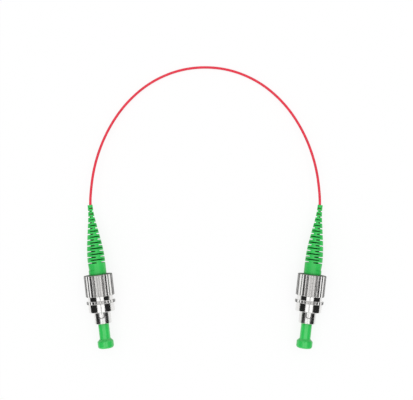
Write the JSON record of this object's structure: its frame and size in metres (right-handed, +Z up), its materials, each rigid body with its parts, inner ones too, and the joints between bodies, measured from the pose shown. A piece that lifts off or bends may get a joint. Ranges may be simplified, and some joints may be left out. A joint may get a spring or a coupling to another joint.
{
  "type": "fibre patch cord",
  "caption": "Short simplex fibre patch cord in an arch, with a slotted green boot, knurled screw coupling, keyed plug tube and push-on dust cap at each end.",
  "frame": {"origin": "on the table, under the middle of the box that holds the two plugs", "axes": "+X from the left plug to the right plug, +Y from the dust caps towards the cord's arch, +Z up from the table"},
  "size_m": [0.085, 0.0995, 0.01],
  "materials": {
    "cord_jacket": "smooth satin red buffer",
    "boot_rubber": "satin moulded green elastomer",
    "cap_plastic": "satin moulded green plastic",
    "nickel": "bright nickel plate on turned brass",
    "inner_steel": "plain turned or drawn steel",
    "zirconia": "polished white ceramic",
    "fiber_glass": "bare silica glass"
  },
  "bodies": {
    "base": {"fiber_cord": "cord_jacket", "left_boot": "boot_rubber", "left_backpost": "inner_steel", "left_plug_frame": "nickel", "left_spring": "inner_steel", "right_boot": "boot_rubber", "right_backpost": "inner_steel", "right_plug_frame": "nickel", "right_spring": "inner_steel"},
    "left_ring_slider": {"left_nut_ring": "inner_steel"},
    "left_nut": {"left_coupling_nut": "nickel"},
    "left_ferrule_unit": {"left_ferrule": "zirconia", "left_ferrule_flange": "inner_steel", "left_bare_fiber": "fiber_glass"},
    "left_cap": {"left_dust_cap": "cap_plastic"},
    "right_ring_slider": {"right_nut_ring": "inner_steel"},
    "right_nut": {"right_coupling_nut": "nickel"},
    "right_ferrule_unit": {"right_ferrule": "zirconia", "right_ferrule_flange": "inner_steel", "right_bare_fiber": "fiber_glass"},
    "right_cap": {"right_dust_cap": "cap_plastic"}
  },
  "joints": [
    {"name": "left_nut_slide", "type": "slide", "parent": "base", "child": "left_ring_slider", "axis": [0.1132, -0.9936, 0], "range_m": [0, 0.0024]},
    {"name": "left_nut_spin", "type": "hinge", "parent": "left_ring_slider", "child": "left_nut", "pos_m": [-0.03678, -0.0058, 0.005], "axis": [0.1132, -0.9936, 0], "continuous": true},
    {"name": "left_ferrule_float", "type": "slide", "parent": "base", "child": "left_ferrule_unit", "axis": [-0.1132, 0.9936, 0], "range_m": [0, 0.001], "stiffness_N_per_m": 2500, "deforming": ["left_spring"]},
    {"name": "left_cap_pull", "type": "slide", "parent": "left_ferrule_unit", "child": "left_cap", "axis": [0.1132, -0.9936, 0], "range_m": [0, 0.015]},
    {"name": "right_nut_slide", "type": "slide", "parent": "base", "child": "right_ring_slider", "axis": [-0.1132, -0.9936, 0], "range_m": [0, 0.0024]},
    {"name": "right_nut_spin", "type": "hinge", "parent": "right_ring_slider", "child": "right_nut", "pos_m": [0.03678, -0.0058, 0.005], "axis": [-0.1132, -0.9936, 0], "continuous": true},
    {"name": "right_ferrule_float", "type": "slide", "parent": "base", "child": "right_ferrule_unit", "axis": [0.1132, 0.9936, 0], "range_m": [0, 0.001], "stiffness_N_per_m": 2500, "deforming": ["right_spring"]},
    {"name": "right_cap_pull", "type": "slide", "parent": "right_ferrule_unit", "child": "right_cap", "axis": [-0.1132, -0.9936, 0], "range_m": [0, 0.015]}
  ]
}
